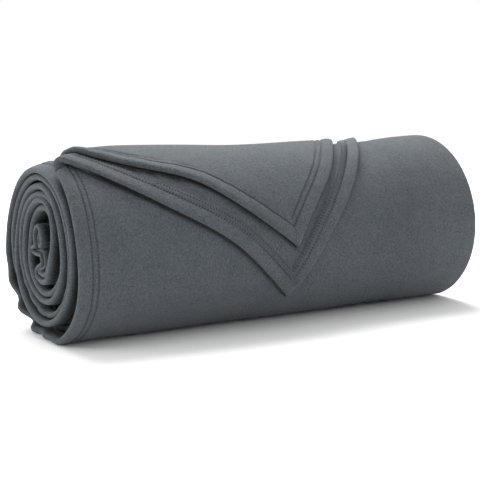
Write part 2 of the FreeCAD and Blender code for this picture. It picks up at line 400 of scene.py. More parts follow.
    def __post_init__(self) -> None:
        """Takes the roll's place from the frame and measures the winding."""
        low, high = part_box("fleece_sheet")
        self.length = high.x - low.x + self.fold_overhang
        self.left = low.x
        self.radius = -low.y - self.cloth.ply / 2
        self.axis_height = -low.y - self.underside_drop
        self.width = 2 * self.length + (math.pi - 2) * self.ply_step / 2
        samples = 6000
        self.turn_table = self.crest_turned + np.linspace(0, self.core_turns * 360, samples)
        steps = np.radians(np.diff(self.turn_table)) * self.base_radius(self.turn_table)[1:]
        self.walked_table = np.concatenate([[0], np.cumsum(steps)])
        self.core = -float(self.walked_table[-1])
        self.heart_start = float(np.interp(self.whole_turns * 360, self.turn_table, self.walked_table))
        self.heart_table = self.smooth_path(MM * np.array(self.heart))
        self.heart_table[0] *= (-self.core - self.heart_start) / self.heart_table[0, -1]

    @staticmethod
    def smooth_path(corners: np.ndarray) -> np.ndarray:
        """A smooth path near some points.

        Args:
            corners: The points, one in each row.

        Returns:
            Rows of the distance walked, the two coordinates and the unit outward direction.
        """
        count, half = 600, 19
        fine = np.linspace(0, len(corners) - 1, count)
        path = np.stack([np.interp(fine, np.arange(len(corners)), column) for column in corners.T], axis=1)
        kernel = np.hanning(2 * half + 1) / np.hanning(2 * half + 1).sum()
        padded = np.pad(path, ((half, half), (0, 0)), mode="reflect", reflect_type="odd")
        path = np.stack([np.convolve(column, kernel, mode="valid") for column in padded.T], axis=1)
        heading = np.gradient(path, axis=0)
        lengths = np.linalg.norm(heading, axis=1)
        outward = np.stack([-heading[:, 1], heading[:, 0]], axis=1) / lengths[:, None]
        return np.column_stack([np.cumsum(lengths) - lengths[0], path, outward]).T

    def base_radius(self, turned: np.ndarray) -> np.ndarray:
        """Radius of the outer ply after it has turned inwards from the top, in degrees.

        It stays the same down the front, closes in up the back, and then winds in evenly.

        Args:
            turned: Degrees inwards from the top.

        Returns:
            The radius at each turn.
        """
        turns = turned / 360
        closing = np.clip(2 * turns - 1, 0, 1)
        lost = self.first_loss * closing * (1 + self.closing_bow * (1 - closing))
        lost = lost + self.spacing * np.clip(turns - 1, 0, None)
        return self.radius - lost + self.lap_gain * ease(-turns / self.lap_turns)

    def turned(self, around: np.ndarray) -> np.ndarray:
        """Degrees from the top, down the front and on inwards."""
        inside = np.interp(-around, self.walked_table, self.turn_table)
        return np.where(around < 0, inside, self.crest_turned - np.degrees(around / self.radius))

    def fold_out(self, across: np.ndarray) -> tuple[np.ndarray, np.ndarray]:
        """Splits across into which ply, from 0 outside to 1 inside, and the distance along the roll.

        Args:
            across: Distance across the sheet.

        Returns:
            The share of the way to the inner ply, and the distance along the roll.
        """
        bend = self.ply_step / 2
        start = self.length - bend
        angle = np.clip((across - start) / bend, 0, math.pi)
        back = np.clip(across - start - math.pi * bend, 0, None)
        along = np.minimum(across, start) + bend * np.sin(angle) - back
        return (1 - np.cos(angle)) / 2, along

    def open_edge(self, ply: Ply, around: np.ndarray) -> np.ndarray:
        """How far a ply's open edge lies from the roll's left end."""
        return MM * OPEN_EDGES[ply].at(self.turned(around), np.clip(around, 0, None) / MM)

    def end_around(self, share: np.ndarray | float, along: np.ndarray) -> np.ndarray:
        """Where the sheet's loose end lies: it is a little bowed, and drawn in at its corner.

        Args:
            share: Which ply, from 0 outside to 1 inside.
            along: Distance along the roll.

        Returns:
            The end's distance outwards from the crest.
        """
        run = along / MM
        bow = (1 - share) * self.end_bow.at(run) + (1 + self.inner_tuck * share) * self.end_tuck.at(run)
        drawn = self.corner_drawn * fading(run, self.corner_reach)
        return self.ends[0] + share * (self.ends[1] - self.ends[0]) + (bow - drawn) * MM

    def crest_around(self, along: np.ndarray) -> np.ndarray:
        """Where the sheet starts to turn back, at a distance along the roll."""
        return (along - self.crest_inset) * math.tan(self.fold_slope) + self.crest_sweep.at(along / MM) * MM

    def tip(self, ply: Ply) -> float:
        """Distance along the roll where a ply's crest meets its loose end.

        Args:
            ply: The ply.

        Returns:
            The distance along the roll.
        """
        samples = 2000
        along = np.linspace(self.tip_search, self.length, samples)
        past = self.end_around(float(ply.value), along) - self.crest_around(along)
        return float(along[np.argmax(past < 2 * self.seam)])

    def wander(self, turned: np.ndarray, along: np.ndarray) -> np.ndarray:
        """Unevenness of the winding: near layers wander together, and most at the open end.

        Args:
            turned: Degrees inwards from the top.
            along: Distance along the roll.

        Returns:
            How far the cloth lies out from its even winding.
        """
        angle = np.radians(turned)
        depth = np.clip((turned - 180) / 360, 0, self.deepest)
        near_end = self.wave_inside + (1 - self.wave_inside) * fading(along, self.wave_reach)
        waves = sum(wave.at(angle, depth) for wave in self.waves)
        amount = self.wave_start + self.wave_growth.at(depth)
        point = self.point.at(np.mod(turned + 180, 360)) * self.point_growth.at(depth)
        slow, slow_run, phase = self.slow_sway
        quick, quick_run = self.quick_sway
        sway = slow * np.sin(along / slow_run + phase) + quick * np.sin(along / quick_run + angle)
        return ((waves * amount + point) * near_end + sway * (1 - self.sway_calm * amount)) * MM

    def core_shape(self, turned: np.ndarray) -> np.ndarray:
        """The inner turns stand taller than they are wide, sit to the front, and slump below.

        Args:
            turned: Degrees inwards from the top.

        Returns:
            How far the cloth lies out from a round winding.
        """
        turns, angle = turned / 360, np.radians(turned)
        radial = total(self.raised, turns) * np.cos(angle) + self.forward.at(turns) * np.sin(angle)
        radial = radial - total(self.narrow, turns) * np.sin(angle) ** 2
        return (radial + total(self.slumped, turned)) * MM

    def outline(self, turned: np.ndarray, along: np.ndarray) -> np.ndarray:
        """Departures of the roll's outline from round.

        Args:
            turned: Degrees inwards from the top.
            along: Distance along the roll.

        Returns:
            How far the cloth lies out from a round winding.
        """
        near_left = fading(along, self.open_reach)
        near_right = ease((along / self.length - self.flare_start) / (1 - self.flare_start))
        sunk = near_left * self.tucked.at(turned)
        sunk = sunk + fading(along, self.sprung_reach) * self.sprung.at(turned)
        flare = near_right * total(self.flared, turned)
        inside = self.press_start.at(along / MM)
        everywhere, in_middle, under_flap = self.pressed_top
        press = everywhere + in_middle * inside * (1 - near_right)
        press = press + under_flap * inside * (1 - self.flap_stop.at(along / MM))
        top = self.top.at(np.mod(turned + 180, 360) - 180) * fading(turned, self.top_depth)
        return (sunk + flare - press * top) * MM

    def free_bulge(self, turned: np.ndarray, along: np.ndarray) -> np.ndarray:
        """Outer turns spring out where the turned-back wrap no longer holds them.

        Args:
            turned: Degrees inwards from the top.
            along: Distance along the roll.

        Returns:
            How far the cloth springs out.
        """
        under_crest = 360 + self.crest_turned
        start, depth = self.bulge_depth
        beyond = self.radius * np.radians(under_crest - turned) - self.crest_around(along)
        around_run, along_run = self.bulge_runs
        free = ease(beyond / around_run) * self.bulge_start.at(turned) * ease(along / along_run)
        return self.bulge * free * fading(turned - start, depth) * np.where(turned > under_crest, 0.0, 1.0)

    def lap_lift(self, turned: np.ndarray, along: np.ndarray) -> np.ndarray:
        """How far the turns are lifted low at the back, where the sheet's end lies under them.

        Args:
            turned: Degrees inwards from the top.
            along: Distance along the roll.

        Returns:
            How far the cloth is lifted.
        """
        start, depth = self.lap_depth
        inside = np.where(turned > self.lap_from, fading(turned - start, depth), 0.0)
        return MM * self.lap.at(along / MM) * inside * self.lap_place.at(np.mod(turned, 360))

    def settled(self, share: np.ndarray, along: np.ndarray, around: np.ndarray) -> np.ndarray:
        """Height of the turned-back plies above the roll, once they lie on it.

        Args:
            share: Which ply, from 0 outside to 1 inside.
            along: Distance along the roll.
            around: Distance outwards from the crest.

        Returns:
            The height above the roll.
        """
        outer_side = along - self.open_edge(Ply.OUTER, around)
        inner_side = along - self.open_edge(Ply.INNER, around)
        side = np.clip(outer_side + share * (inner_side - outer_side), 0, None)
        end = np.clip(self.end_around(share, along) - around, 0, None)
        lifted = self.side_lift[0] * fading(side, self.side_lift[1])
        lifted = lifted + self.end_lift[0] * fading(end, self.end_lift[1])
        side_run, upper_phase = self.side_roll
        height, end_run, phase = self.end_roll
        wave = np.sin(around / side_run + upper_phase * share) * fading(side, self.roll_fade)
        wave = wave + height * np.sin(along / end_run + phase) * fading(end, self.roll_fade)
        lower, upper = (rest + lift * lifted + roll * wave for rest, lift, roll in self.lying)
        return (lower + share * (upper - lower)) * MM

    def spread_at(self, along: np.ndarray) -> np.ndarray:
        """How much wider the inner ply bends over the crest: loosest at the open edge."""
        return self.crest_spread + self.open_spread * fading(along, self.open_reach)

    def ply_gap(self, turned: np.ndarray, along: np.ndarray, past: np.ndarray) -> np.ndarray:
        """Distance between the plies: wide at the hems, and tighter at the crest and in the heart.

        Args:
            turned: Degrees inwards from the top.
            along: Distance along the roll.
            past: Distance square to the crest, beyond it.

        Returns:
            The distance between the plies.
        """
        at_hems = fading(along, self.hem_reach) * self.hems_apart.at(turned)
        gap = self.ply_step + (self.hem_step - self.ply_step) * at_hems
        gap = gap + (self.spread_at(along) - gap) * (1 - ease(-past / self.spread_run))
        return gap * (1 + self.heart_gap.at(turned))

    def crumple(self, y: np.ndarray, z: np.ndarray, around: np.ndarray, share: np.ndarray,
                along: np.ndarray) -> tuple[np.ndarray, np.ndarray]:
        """Leads the winding's inner end over into the crumpled heart.

        Args:
            y: Places in depth of the even winding.
            z: Heights of the even winding.
            around: Distance outwards from the crest.
            share: Which ply, from 0 outside to 1 inside.
            along: Distance along the roll.

        Returns:
            The places in depth and the heights.
        """
        inward = -around - self.heart_start
        walked, *columns = self.heart_table
        front, up, out_front, out_up = (np.interp(inward, walked, column) for column in columns)
        height, inward_pace, along_pace = self.heart_sway
        offset = height * np.sin(inward / inward_pace + along / along_pace)
        offset = offset - share * self.heart_pinch * self.ply_step
        crumpled = ease(inward / self.heart_blend)
        y = y + crumpled * (-front - out_front * offset - y)
        return y, z + crumpled * (self.axis_height + up + out_up * offset - z)

    def place(self, across: np.ndarray, around: np.ndarray) -> np.ndarray:
        """Points in space of the middle of the plain cloth.

        Args:
            across: Distance across the sheet, from the outer ply's open edge.
            around: Distance outwards from the crest.

        Returns:
            An array of points, with a last axis of 3.
        """
        across, around = np.broadcast_arrays(across, around)
        share, along = self.fold_out(across)
        sine, cosine = math.sin(self.fold_slope), math.cos(self.fold_slope)
        past = (around - self.crest_around(along)) * cosine
        bend = self.crest_bend + share * self.spread_at(along)
        angle = np.clip(past / bend, 0, math.pi)
        beyond = np.clip(past - math.pi * bend, 0, None)
        inside = -share * self.ply_gap(self.turned(around), along, past)
        height = np.where(past < 0, inside, self.crest_bend - bend * np.cos(angle))
        height = height + ease(beyond / self.settle_run) * (self.settled(share, along, around) - height)
        moved = np.where(past < 0, 0.0, bend * np.sin(angle) - beyond - past)
        spot = along - sine * moved
        turned = self.turned(around + cosine * moved)
        theta = np.radians(90 - turned)
        reach = self.base_radius(turned) + self.core_shape(turned) + height
        reach = reach + self.wander(turned, spot) + self.outline(turned, spot)
        reach = keep_above(reach + self.free_bulge(turned, spot), *self.axis_hole)
        z = self.axis_height + reach * np.sin(theta) + self.lap_lift(turned, spot)
        y, z = self.crumple(-reach * np.cos(theta), z, around, share, spot)
        leaning = ease((spot / self.length - self.lean_start) / (1 - self.lean_start))
        x = self.left + spot + leaning * (self.lean[0] - self.lean[1] * np.cos(np.radians(turned))) * MM
        floor = self.clearance * self.cloth.ply + share * (self.cloth.ply + self.inner_clearance)
        floor = floor + MM * self.flap_clearance.at(past / MM)
        return np.stack([x, y, keep_above(z, floor, self.floor_softness)], axis=-1)

    def normal(self, across: np.ndarray, around: np.ndarray) -> np.ndarray:
        """Unit normals of the cloth, on its front.

        Args:
            across: Distance across the sheet.
            around: Distance outwards from the crest.

        Returns:
            An array of directions, with a last axis of 3.
        """
        small = SLOPE_STEP
        along_sheet = self.place(across + small, around) - self.place(across - small, around)
        along_winding = self.place(across, around + small) - self.place(across, around - small)
        normal = np.cross(along_sheet, along_winding)
        return normal / np.maximum(np.linalg.norm(normal, axis=-1, keepdims=True), 1e-15)

    def edge_distances(self, across: np.ndarray, around: np.ndarray) -> tuple[np.ndarray, np.ndarray]:
        """Distances from the nearer open side edge and from the nearer end.

        Args:
            across: Distance across the sheet.
            around: Distance outwards from the crest.

        Returns:
            The distances from the side edge and from the end.
        """
        outer = across - self.open_edge(Ply.OUTER, around)
        inner = self.width - across - self.open_edge(Ply.INNER, around)
        share, along = self.fold_out(across)
        end = np.minimum(around - self.core, self.end_around(share, along) - around)
        return np.clip(np.minimum(outer, inner), 0, None), np.clip(end, 0, None)

    def openness(self, across: np.ndarray, around: np.ndarray) -> tuple[np.ndarray, np.ndarray]:
        """How open to the light the cloth's front and back are, as painted shade: dark between the turns.

        Args:
            across: Distance across the sheet.
            around: Distance outwards from the crest.

        Returns:
            The openness of the front and of the back, from 0 to 1.
        """
        side, _ = self.edge_distances(across, around)
        share, along = self.fold_out(across)
        turned = self.turned(around)
        deep = self.dark_depth.at(np.minimum(side, self.length - along) / MM)
        wrapped, behind_first = self.wrapped.at(turned), self.behind_first.at(turned)
        front = 1 - deep * (wrapped * (1 - share) + behind_first * share)
        return front * self.creased(across, around), 1 - deep * behind_first

    def creased(self, across: np.ndarray, around: np.ndarray) -> np.ndarray:
        """Openness along the rows of stitching, which draw the pile down: painted shade in their grooves.

        Args:
            across: Distance across the sheet.
            around: Distance outwards from the crest.

        Returns:
            The openness, from 0 to 1.
        """
        nearest = np.minimum(*self.edge_distances(across, around))
        creases = sum(hump(nearest, row, self.cloth.crease_width) for row in self.cloth.rows)
        return 1 - self.cloth.crease_shade * creases

    def shadowed(self, across: np.ndarray, around: np.ndarray) -> np.ndarray:
        """How dark the painted shadow is where the upper ply's open edge lies on the lower ply.

        Args:
            across: Distance across the sheet.
            around: Distance outwards from the crest.

        Returns:
            The darkness, from 0 to 1.
        """
        _, along = self.fold_out(across)
        shift = math.pi * self.crest_spread
        under = around + shift * math.cos(self.fold_slope)
        beside = along - shift * math.sin(self.fold_slope)
        inside = np.minimum(beside - self.open_edge(Ply.INNER, under), self.end_around(1.0, beside) - under)
        past = around - self.crest_around(along)
        return self.shadow_edge.at(inside / MM) * self.shadow_start.at(past / MM)

    def surfaces(self, across: np.ndarray, around: np.ndarray) -> tuple[np.ndarray, np.ndarray]:
        """Points on the cloth's front and on its back, with its hems, stitch lines and round edges.

        Args:
            across: Distance across the sheet.
            around: Distance outwards from the crest.

        Returns:
            The front points and the back points.
        """
        across, around = np.broadcast_arrays(across, around)
        cloth = self.cloth
        side, end = self.edge_distances(across, around)
        nearest = np.minimum(side, end)
        run = np.where(side < end, around, across)
        hemmed = 1 - ease((nearest - cloth.hem_width) / cloth.step_width + 0.5)
        in_heart = ease((-around - self.heart_start + self.heart_blend) / (2 * self.heart_blend))
        hemmed = hemmed * (1 - cloth.pressed * in_heart)
        puff = cloth.puff * np.sin(math.pi * np.clip(nearest / cloth.rows[0], 0, 1)) * hemmed
        pucker = sum(height * np.sin(run / pace + phase) for height, pace, phase in cloth.puckers)
        pucker = pucker * np.clip(nearest / cloth.pucker_start, 0, 1)
        pucker = pucker * (1 - ease((nearest - cloth.hem_width) / cloth.pucker_fade))
        groove = sum(hump(nearest, row, cloth.groove_width) for row in cloth.rows)
        front = cloth.ply / 2 + puff + pucker - cloth.front_groove * groove
        back = cloth.ply / 2 + cloth.hem * hemmed + cloth.back_puff * puff - cloth.back_groove * groove
        middle = (front - back) / 2
        full = cloth.ply + cloth.hem * hemmed
        rounded = np.sqrt(np.clip(1 - (1 - np.clip(nearest / (full / 2), 0, 1)) ** 2, 0, 1))
        spots, normal = self.place(across, around), self.normal(across, around)
        front = middle + (front - middle) * rounded
        back = middle - (back + middle) * rounded
        return spots + normal * front[..., None], spots + normal * back[..., None]


# ---- meshes --------------------------------------------------------------------------------------


def finished(name: str, builder: bmesh.types.BMesh) -> bpy.types.Object:
    """Turns a bmesh into a smooth-shaded object in the scene.

    Args:
        name: The object's name.
        builder: The bmesh, which is used up.

    Returns:
        The new object.
    """
    bmesh.ops.recalc_face_normals(builder, faces=builder.faces)
    for face in builder.faces:
        face.smooth = True
    mesh = bpy.data.meshes.new(name)
    builder.to_mesh(mesh)
    builder.free()
    made = bpy.data.objects.new(name, mesh)
    bpy.context.scene.collection.objects.link(made)
    return made


def grid_over(points: np.ndarray, merge: float, shade: np.ndarray | None = None) -> bmesh.types.BMesh:
    """A grid laid over points.

    Args:
        points: Rows and columns of points.
        merge: Points nearer than this become one.
        shade: A value for each point, kept as an attribute.

    Returns:
        The new bmesh.
    """
    rows, columns = points.shape[:2]
    builder = bmesh.new()
    layer = None if shade is None else builder.verts.layers.float.new(SHADE)
    bmesh.ops.create_grid(builder, x_segments=columns - 1, y_segments=rows - 1, size=0.5)
    order = sorted(builder.verts, key=lambda vert: (round(vert.co.y, 6), vert.co.x))
    for vert, spot in zip(order, points.reshape(-1, 3).tolist()):
        vert.co = spot
    if shade is not None:
        for vert, value in zip(order, shade.ravel().tolist()):
            vert[layer] = value
    bmesh.ops.remove_doubles(builder, verts=builder.verts, dist=merge)
    return builder


def closed_cloth(name: str, front: np.ndarray, back: np.ndarray,
                 shades: tuple[np.ndarray, np.ndarray]) -> bpy.types.Object:
    """A closed sheet of cloth between two grids of points.

    Args:
        name: The object's name.
        front: Points of the front, rows by columns by 3.
        back: Points of the back, on the same grid.
        shades: How open to the light each point of the front and of the back is, from 0 to 1.

    Returns:
        The new object. Its border is closed along the middle of the cloth's thickness.
    """
    border = ((1, 1), (1, 1), (0, 0))
    front, back = np.pad(front, border, mode="edge"), np.pad(back, border, mode="edge")
    middle = (front + back) / 2
    rim = np.ones(middle.shape[:2], bool)
    rim[1:-1, 1:-1] = False
    front[rim] = middle[rim]
    back[rim] = middle[rim]
    front_shade, back_shade = (np.pad(shade, border[:2], mode="edge") for shade in shades)
    shade = np.concatenate([front_shade, back_shade[::-1]])
    return finished(name, grid_over(np.concatenate([front, back[::-1]]), CLOTH_MERGE, shade))


def thread(name: str, path: np.ndarray, radius: float, sides: int) -> bpy.types.Object:
    """A thin thread along a path.

    Args:
        name: The object's name.
        path: Points along the thread.
        radius: The thread's radius.
        sides: Flats round the thread.

    Returns:
        The new object.
    """
    tangent = np.gradient(path, axis=0)
    tangent /= np.maximum(np.linalg.norm(tangent, axis=1, keepdims=True), 1e-12)
    side = np.cross(tangent, OFF_AXIS)
    side /= np.maximum(np.linalg.norm(side, axis=1, keepdims=True), 1e-12)
    turns = 2 * math.pi * (np.arange(sides + 1) % sides)[:, None, None] / sides
    rings = path + radius * (np.cos(turns) * side + np.sin(turns) * np.cross(tangent, side))
    strand = grid_over(rings, THREAD_MERGE)
    ends = [edge for edge in strand.edges if edge.is_boundary]
    bmesh.ops.holes_fill(strand, edges=ends, sides=sides)
    return finished(name, strand)


def stations(near: np.ndarray, far: np.ndarray, total_length: np.ndarray, between: int) -> np.ndarray:
    """Distances along lines of given lengths, close together near both ends.

    Args:
        near: Wanted distances from the start.
        far: Wanted distances from the far end.
        total_length: Length of each line.
        between: Number of even steps between the two sets.

    Returns:
        One row of distances for each line. On a line too short for both sets, all shrink alike.
    """
    room = 1.15
    whole = np.asarray(total_length, float)[:, None]
    shrink = np.minimum(1, whole / ((near[-1] + far[-1]) * room))
    start, stop = near * shrink, whole - far[::-1] * shrink
    share = np.linspace(0, 1, between + 1)[1:-1]
    middle = start[:, -1:] + (stop[:, :1] - start[:, -1:]) * share
    return np.concatenate([start, middle, stop], axis=1)


# ---- finishes ------------------------------------------------------------------------------------


class NodeTree:
    """A short way to place and link the nodes of one material."""

    def __init__(self, name: str, **surface: float) -> None:
        """Starts a material, with values for inputs of its Principled surface.

        Args:
            name: The material's name.
            surface: Values, by input name with underscores for spaces.
        """
        self.material = bpy.data.materials.new(name)
        self.material.use_nodes = True
        self.tree = self.material.node_tree
        self.surface = self.tree.nodes["Principled BSDF"]
        for entry, value in surface.items():
            self.surface.inputs[entry.replace("_", " ")].default_value = value

    def add(self, kind: str, **values: object) -> bpy.types.Node:
        """Adds a node and sets its properties, or its inputs where it has one of that name.

        Args:
            kind: The shader node's type.
            values: Its inputs and properties, by name.

        Returns:
            The new node.
        """
        node = self.tree.nodes.new("ShaderNode" + kind)
        for name, value in values.items():
            label = name.replace("_", " ").capitalize()
            if label in node.inputs:
                node.inputs[label].default_value = value
            else:
                setattr(node, name, value)
        return node

    def link(self, source: bpy.types.Node, output: str | int, target: bpy.types.Node,
             entry: str | int) -> None:
        """Links an output to an input, each by its name or its number."""
        self.tree.links.new(source.outputs[output], target.inputs[entry])

    def ramp(self, source: bpy.types.Node, output: str | int, stops: dict[float, Colour]) -> bpy.types.Node:
        """Colours a value by a ramp between two stops, each a place and its colour.

        Args:
            source: The node that gives the value.
            output: Its output.
            stops: Two places, each with its colour.

        Returns:
            The ramp's node.
        """
        ramp = self.add("ValToRGB")
        for element, (position, colour) in zip(ramp.color_ramp.elements, stops.items()):
            element.position = position
            element.color = colour
        self.link(source, output, ramp, "Fac")
        return ramp

    def bump(self, source: bpy.types.Node, output: str | int, strength: float, distance: float) -> None:
        """Raises the surface by a value.

        Args:
            source: The node that gives the height.
            output: Its output.
            strength: How strongly it shows.
            distance: The height of a value of 1.
        """
        bump = self.add("Bump", strength=strength, distance=distance)
        self.link(source, output, bump, "Height")
        self.link(bump, "Normal", self.surface, "Normal")


@dataclass(frozen=True)
class FleeceFinish:
    """Brushed fleece: matt, with a soft sheen, a fine pile and a faint mottling, darkened by painted shade.
    """

    name: str = "brushed_fleece"
    dark: Colour = (0.043, 0.0505, 0.0575, 1)
    light: Colour = (0.1, 0.114, 0.128, 1)
    contrast: tuple[float, float] = (0.38, 0.62)
    # The grain: scale and weight of each noise in it.
    grain: tuple[tuple[float, float], ...] = ((900, 1.5), (380, 0.6), (45, 0.25))
    pile_height: float = 2.4 * MM
    # The share of the colour left where the painted shade is deepest.
    crevice: float = 0.05

    def material(self) -> bpy.types.Material:
        """Builds the fleece's nodes.

        Returns:
            The new material.
        """
        nodes = NodeTree(self.name, Roughness=0.95, Specular_IOR_Level=0.12, Sheen_Weight=0.15,
                         Sheen_Roughness=0.45)
        grain = self.grain_nodes(nodes)
        ramp = nodes.ramp(grain, 0, dict(zip(self.contrast, (self.dark, self.light))))
        # Painted shade: the colour is scaled by the openness attribute, down to its darkest share.
        openness = nodes.add("Attribute", attribute_name=SHADE)
        depth = nodes.add("MapRange")
        depth.inputs["To Min"].default_value = self.crevice
        nodes.link(openness, "Fac", depth, "Value")
        shaded_colour = nodes.add("VectorMath", operation="SCALE")
        nodes.link(ramp, "Color", shaded_colour, 0)
        nodes.link(depth, "Result", shaded_colour, "Scale")
        nodes.link(shaded_colour, "Vector", nodes.surface, "Base Color")
        nodes.bump(grain, 0, 1.0, self.pile_height)
        return nodes.material

    def grain_nodes(self, nodes: NodeTree) -> bpy.types.Node:
        """Adds the noises up, and returns the node that holds their sum.

        Args:
            nodes: The material's nodes.

        Returns:
            The node whose output is the sum.
        """
        place = nodes.add("TexCoord")
        weights = sum(weight for _, weight in self.grain)
        summed = None
        for scale, weight in self.grain:
            texture = nodes.add("TexNoise", scale=scale, detail=3, roughness=0.55)
            nodes.link(place, "Object", texture, "Vector")
            added = nodes.add("Math", operation="MULTIPLY_ADD")
            nodes.link(texture, "Fac", added, 0)
            added.inputs[1].default_value = weight / weights
            added.inputs[2].default_value = 0.0
            if summed is not None:
                nodes.link(summed, 0, added, 2)
            summed = added
        return summed


@dataclass(frozen=True)
class ThreadFinish:
    """Spun polyester sewing thread, a little smoother and lighter than the fleece."""

    name: str = "sewing_thread"
    dark: Colour = (0.055, 0.063, 0.071, 1)
    light: Colour = (0.135, 0.150, 0.166, 1)
    contrast: tuple[float, float] = (0.35, 0.65)
    twist_height: float = 0.1 * MM

    def material(self) -> bpy.types.Material:
        """Builds the thread's nodes: a twist of fine dark and light.

        Returns:
            The new material.
        """
        nodes = NodeTree(self.name, Roughness=0.6, Specular_IOR_Level=0.35)
        place = nodes.add("TexCoord")
        twist = nodes.add("TexNoise", scale=1500, detail=2, roughness=0.5)
        nodes.link(place, "Object", twist, "Vector")
        ramp = nodes.ramp(twist, "Fac", dict(zip(self.contrast, (self.dark, self.light))))
        nodes.link(ramp, "Color", nodes.surface, "Base Color")
        nodes.bump(twist, "Fac", 0.4, self.twist_height)
        return nodes.material


# ---- the throw's parts ---------------------------------------------------------------------------


@dataclass
class RolledSheet:
    """The doubled sheet, wound up from its core to the line where its corner turns back."""

    form: ThrowForm
    finish: bpy.types.Material
    rows_between: int = 19
    columns_between: int = 300
    fold_rows: int = 9

    def across_rows(self, around: np.ndarray) -> np.ndarray:
        """Across coordinates of the rows, from the outer ply's edge to the inner ply's.

        Args:
            around: Distance outwards from the crest.

        Returns:
            One row for each row of the cloth, with a value for each distance.
        """
        form = self.form
        bend = form.ply_step / 2
        start = form.length - bend
        outer, inner = (form.open_edge(ply, around)[:, None] for ply in Ply)
        first, second = (
            edge + stations(HEM_STATIONS, FOLD_STATIONS, start - edge[:, 0], self.rows_between)
            for edge in (outer, inner)
        )
        fold = start + math.pi * bend * np.linspace(0, 1, self.fold_rows)[1:-1]
        fold = np.broadcast_to(fold, (len(around), len(fold)))
        return np.concatenate([first, fold, form.width - second[:, ::-1]], axis=1).T

    def build(self) -> bpy.types.Object:
        """Builds the wound sheet and hides the nodes that it stands for.

        Returns:
            The new object.
        """
        form = self.form
        share, along = form.fold_out(self.across_rows(np.zeros(1))[:, 0])
        limit = np.minimum(form.crest_around(along) - form.seam, form.end_around(share, along))
        ends = HEM_STATIONS[::2]
        around = form.core + stations(ends, ends, limit - form.core, self.columns_between)
        across = np.stack([self.across_rows(line)[row] for row, line in enumerate(around)])
        front, back = form.surfaces(across, around)
        # The openness attribute carries painted shade between the turns and along the stitching.
        made = closed_cloth("rolled_sheet", front, back, form.openness(across, around))
        made.data.materials.append(self.finish)
        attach(made, ROLL_BODY)
        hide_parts("fleece_sheet", "outer_side_hem", "inner_side_hem",
                    "outer_core_hem", "inner_core_hem")
        return made


@dataclass
class TurnedCorner:
    """The corner of one ply that is turned back over the roll."""

    form: ThrowForm
    finish: bpy.types.Material
    ply: Ply
    rows_between: int = 70
    columns_between: int = 46
    crest_columns: int = 15
    after_crest: float = 8 * MM
    # Where along the edge its rows start from, and how far in they follow the edge's bends.
    guide_around: float = 60 * MM
    follow: float = 60 * MM
    # The curl of the underside past the open edge, painted dark to stand in for the shadow under the edge:
    # outwards, and towards the roll.
    curl: tuple[float, float] = (3.0, 1.2)
    # Where it curls, and where its painted shadow is dark, in from the open edge and out from the crest.
    curl_starts: Change = Change(1, 0.1, 0.45)
    curl_stops: Change = Change(1, 1.2, 4.2)
    curl_past: Change = Change(1, 20, 60)
    dark_starts: Change = Change(1, 0, 0.12)
    dark_stops: Change = Change(1, 4, 9)
    dark_past: Change = Change(1, 20, 50)

    def build(self) -> bpy.types.Object:
        """Builds the ply's corner, from the roll over the crest to the turned-back corner.

        Returns:
            The new object.
        """
        form = self.form
        across, around = self.grid()
        front, back = form.surfaces(across, around)
        # The outer ply's underside curls out past its open edge as a painted shadow under the edge.
        if self.ply is Ply.OUTER:
            front = front + self.lip(across, around)
        label = self.ply.label
        made = closed_cloth(f"{label}_turned_corner", front, back, self.shades(across, around))
        made.data.materials.append(self.finish)
        bend_with_corner(made)
        kinds = ("ply", "side_hem", "end_hem")
        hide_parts(*[f"{place}_{label}_{kind}" for place in ("turned", "corner") for kind in kinds])
        return made

    def grid(self) -> tuple[np.ndarray, np.ndarray]:
        """Sheet coordinates of the corner's rows and columns of points.

        Returns:
            The distances across the sheet and the distances outwards from the crest.
        """
        form = self.form
        edge = form.open_edge(self.ply, np.full(1, self.guide_around))
        side = stations(HEM_STATIONS, TIP_STATIONS, form.tip(self.ply) - edge, self.rows_between)[0]
        turn = math.pi * (form.crest_bend + self.ply.value * form.crest_spread)
        crest = form.seam + turn * np.linspace(0, 1, self.crest_columns)
        fold = np.concatenate([[0], crest, [crest[-1] + self.after_crest]])
        start = form.crest_around(edge + side) - form.seam
        stop = form.end_around(float(self.ply.value), edge + side)
        around = start[:, None] + stations(fold, HEM_STATIONS, stop - start, self.columns_between)
        shift = form.open_edge(self.ply, around) - edge
        along = edge + side[:, None] + shift * np.exp(-side[:, None] / self.follow)
        return (along if self.ply is Ply.OUTER else form.width - along), around

    def lip(self, across: np.ndarray, around: np.ndarray) -> np.ndarray:
        """How far the underside curls out past the open edge on the roll, as a painted shadow under the
        edge.

        Args:
            across: Distance across the sheet.
            around: Distance outwards from the crest.

        Returns:
            The shift of each point.
        """
        form = self.form
        inset = (across - form.open_edge(self.ply, around)) / MM
        past = (around - form.crest_around(across)) / MM
        amount = self.curl_starts.at(inset) * (1 - self.curl_stops.at(inset)) * self.curl_past.at(past)
        outward = form.place(across - SLOPE_STEP, around) - form.place(across + SLOPE_STEP, around)
        outward = outward / np.linalg.norm(outward, axis=-1, keepdims=True)
        shift = self.curl[0] * outward + self.curl[1] * form.normal(across, around)
        return MM * amount[..., None] * shift

    def shades(self, across: np.ndarray, around: np.ndarray) -> tuple[np.ndarray, np.ndarray]:
        """Openness to the light: painted shadow under the open edge and where the upper ply lies on it.

        Args:
            across: Distance across the sheet.
            around: Distance outwards from the crest.

        Returns:
            The openness of the front and of the back, from 0 to 1.
        """
        lit = self.form.creased(across, around)
        if self.ply is Ply.INNER:
            return lit, lit
        inset = (across - self.form.open_edge(self.ply, around)) / MM
        past = (around - self.form.crest_around(across)) / MM
        edge = self.dark_starts.at(inset) * (1 - self.dark_stops.at(inset))
        under = 1 - edge * self.dark_past.at(past)
        return under, lit * (1 - self.form.shadowed(across, around))


def bend_with_corner(piece: bpy.types.Object) -> None:
    """Bakes a piece's placement into its mesh.

    Args:
        piece: The piece, after its mesh is final.
    """
    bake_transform(piece)


